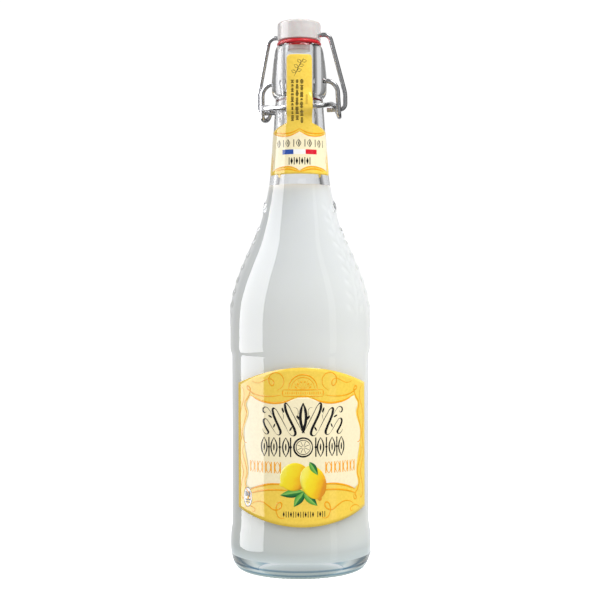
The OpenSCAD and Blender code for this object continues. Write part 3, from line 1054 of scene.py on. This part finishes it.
# %% White badge
badge_x, badge_y = -34.6, 44.2
badge_width, badge_height = 6.9, 10.6
bm = bmesh.new()
spot(bm, badge_x, badge_y, badge_width, badge_height, 40)
print_spots("body_label_badge", bm, on_body, 0.03, white)
rim = [(badge_x + badge_width / 2 * math.cos(a), badge_y + badge_height / 2 * math.sin(a))
       for a in (2 * math.pi * i / 24 for i in range(25))]
print_strokes("body_label_badge_rim", [(0.34, rim)], on_body, 0.05, black)
bm = bmesh.new()
for x, y, width, height in ((-36.1, 45.9, 0.9, 3.0), (badge_x, 45.9, 1.1, 2.2),
                            (-33.1, 45.9, 0.9, 3.0), (badge_x, 42.8, 4.4, 0.7),
                            (badge_x, 41.4, 3.6, 0.5)):
    bar(bm, x, y, width, height)
print_spots("body_label_badge_marks", bm, on_body, 0.05, black)

# %% [markdown]
# ## Neck label and strip
# One sheet goes round the neck and sends a narrow strip up over the lever's bar and up the front
# of the glass, so the closure can't open without tearing it. The two grids share the points where
# they meet, and are merged into one sheet before it is bent and thickened.

# %% Sheet
strip_half = 7.5
neck_half = 24.5
strip_foot = 254.9
strip_top = 293.7
strip_corner = 2
neck_low = 225.5
neck_corner = 3.2


def neck_top(x):
    """Upper edge of the neck label: it rises from its sides to the foot of the strip."""
    x = abs(x)
    if x < strip_half:
        return strip_foot
    return 250.8 + (strip_foot - 250.8) * max(0.0, (22 - x) / (22 - strip_half)) ** 1.25


def neck_shape(s, t):
    x = neck_half * (2 * s - 1)
    edge = max(0.0, abs(x) - (neck_half - neck_corner))
    corner = neck_corner - math.sqrt(max(0.0, neck_corner * neck_corner - edge * edge))
    low, high = neck_low + corner, neck_top(x) - 0.5 * corner
    return x, low + (high - low) * t


def strip_shape(s, t):
    x = strip_half * (2 * s - 1)
    edge = max(0.0, abs(x) - (strip_half - strip_corner))
    corner = strip_corner - math.sqrt(max(0.0, strip_corner * strip_corner - edge * edge))
    high = strip_top - corner
    return x, strip_foot + (high - strip_foot) * t


bm = flat_sheet(98, 24, neck_shape)
upper = flat_sheet(30, 48, strip_shape)
upper_mesh = bpy.data.meshes.new("strip")
upper.to_mesh(upper_mesh)
upper.free()
bm.from_mesh(upper_mesh)
bpy.data.meshes.remove(upper_mesh)
bmesh.ops.remove_doubles(bm, verts=bm.verts, dist=1e-3)
bm = thicken(bend_on(bm, on_neck, 0), paper)
neck_paper = finish_mesh(bm, "neck_label_and_strip", "bottle", yellow)
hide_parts("neck_label", "seal_strip")


# %% Cream zone and arches
def neck_panel_shape(s, t):
    y = 228 + 21 * t
    x = wavy(((228, 19.6), (234, 20.2), (244, 23.0), (249, 22.4)), y) * (2 * s - 1)
    out = abs(x) - 7.4
    rise = 2.3 * (out / 7.4) ** 2 if out < 0 else 1.8 * (out / 10.6) ** 2
    low_rise = 2.4 * (out / 7.4) ** 2 if out < 0 else 1.9 * (out / 11.4) ** 2
    low, high = 229.6 - low_rise, 247.4 + min(rise, 2.3)
    return x, low + (high - low) * t


bm = bend_on(flat_sheet(64, 30, neck_panel_shape), on_neck, paper + 0.004)
finish_mesh(thicken(bm, ink), "neck_label_panel", "bottle", cream)
high_rim = [(0.0, 249.9), (2.2, 248.7), (4.8, 247.6), (7.6, 247.2), (11.5, 247.5), (15.5, 248.4),
            (19.0, 249.4)]
high_line = [(0.0, 251.4), (2.0, 250.2), (4.4, 249.2), (7.4, 248.8), (11.5, 249.0), (15.5, 249.7),
             (19.0, 250.7)]
foot_rim = [(0.0, 227.2), (2.2, 228.5), (4.8, 229.5), (7.8, 229.8), (11.5, 229.5), (15.0, 228.8),
            (18.2, 227.9)]
foot_line = [(0.0, 226.6), (2.6, 227.4), (5.4, 228.2), (8.0, 228.4), (12.0, 228.1), (15.5, 227.4)]
neck_curl = [(18.2, 227.9), (19.8, 229.6), (19.4, 231.8), (18.8, 233.4), (19.5, 235.2), (20.6, 237.4)]
print_strokes("neck_label_arches", both_sides([
    (0.80, high_rim), (0.80, high_line), (0.75, foot_rim), (0.85, foot_line), (0.65, neck_curl)]),
    on_neck, 0.02, orange)

# %% Colour bar and ornaments
for name, x, look in (("blue", -6.9, blue), ("white", 0.0, white), ("red", 6.9, red)):
    bm = bmesh.new()
    bmesh.ops.create_grid(bm, x_segments=12, y_segments=1, size=0.5)
    bmesh.ops.scale(bm, vec=(6.9, 2.75, 1), verts=bm.verts)
    bmesh.ops.translate(bm, verts=bm.verts, vec=(x, 238.15, 0))
    print_spots("neck_label_" + name + "_bar", bm, on_neck, 0.02, look)
row_y, low_y = 243.1, 232.9
lozenges = (-7, -4, -1, 2, 5)
ornaments = []
for i in lozenges:
    x = 2.1 * i + 1.6
    for bow in (1.2, -1.2):
        ornaments.append((0.42, [(x, row_y + 2.2), (x + bow, row_y), (x, row_y - 2.2)]))
print_strokes("neck_label_lozenges", ornaments, on_neck, 0.03, black)
bm = bmesh.new()
for i in (-6.6, -5, -3.6, -2, -0.6, 1, 2.4, 4, 5.4, 6.8):
    bar(bm, 2.1 * i + 1.0, row_y, 0.46, 4.2)
for i in lozenges:
    spot(bm, 2.1 * i + 1.6, row_y, 0.7, 1.6)
for i in range(9):
    x = 1.5 * (i - 4)
    if i % 2:
        spot(bm, x, low_y, 1.5, 4.2)
    else:
        bar(bm, x, low_y, 0.5, 4.2)
print_spots("neck_label_marks", bm, on_neck, 0.03, black)

# %% Sprig and small print on the strip
sprig = [(0.34, [(-3.0, 281.0), (-1.6, 283.6), (-0.4, 286.4), (1.2, 289.2), (2.6, 291.6)])]
for x, y, turn in ((-1.9, 283.0, 150), (-1.4, 283.9, 20), (-0.6, 285.8, 140), (-0.2, 286.9, 10),
                   (0.8, 288.5, 125), (1.4, 289.6, 5)):
    tip = (x + 2.9 * math.cos(math.radians(turn)), y + 2.9 * math.sin(math.radians(turn)))
    for bulge in (-0.75, 0.75):
        middle = ((x + tip[0]) / 2 - bulge * math.sin(math.radians(turn)),
                  (y + tip[1]) / 2 + bulge * math.cos(math.radians(turn)))
        sprig.append((0.3, [(x, y), middle, tip]))
print_strokes("strip_sprig", sprig, on_neck, 0.02, black)
bm = bmesh.new()
pale = bmesh.new()
for x in (-3.9, -1.2, 1.4):
    y = 279.0 - random.random()
    while y > 255.6:
        letters = random.randint(2, 7)
        for _ in range(letters):
            bar(bm, x, y, random.choice((1.5, 1.8, 1.1)), 0.42)
            y -= 0.66
        y -= 0.6
for i in range(9):
    bar(pale, 4.3, 270.2 - 0.66 * i, 1.2, 0.3)
print_spots("strip_small_print", bm, on_neck, 0.1, black)
print_spots("strip_faint_print", pale, on_neck, 0.1, faint)

# %% [markdown]
# ## Wires, stopper and gasket
# The design's own shapes are right here. Its meshes are loose triangles, so a merged copy of each
# takes its place, which lets the light run smoothly along the wire and round the plastic.


# %% Smooth copies
def smooth_copy(node_name, name, body, material, sharp=32):
    """A merged, smoothly shaded copy of one of the design's nodes."""
    bm = bmesh.new()
    bm.from_mesh(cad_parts[node_name].data)
    bmesh.ops.remove_doubles(bm, verts=bm.verts, dist=2e-6)
    bmesh.ops.recalc_face_normals(bm, faces=bm.faces)
    for edge in bm.edges:
        if len(edge.link_faces) == 2:
            edge.smooth = edge.calc_face_angle(0) < math.radians(sharp)
    bmesh.ops.scale(bm, vec=(1 / MM, 1 / MM, 1 / MM), verts=bm.verts)
    piece = finish_mesh(bm, name, body, material)
    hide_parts(node_name)
    print(name, len(piece.data.polygons), "faces")
    return piece


smooth_copy("lever", "lever_wire", "lever", steel)
smooth_copy("bail", "bail_wire", "bail", steel)
smooth_copy("stopper", "stopper_plastic", "stopper", plastic)
gasket_piece = smooth_copy("gasket", "gasket_rubber", "stopper", rubber)
low = min(v.co.z for v in gasket_piece.data.vertices)
high = max(v.co.z for v in gasket_piece.data.vertices)
print("gasket from", round(low / MM, 2), "to", round(high / MM, 2), "mm")
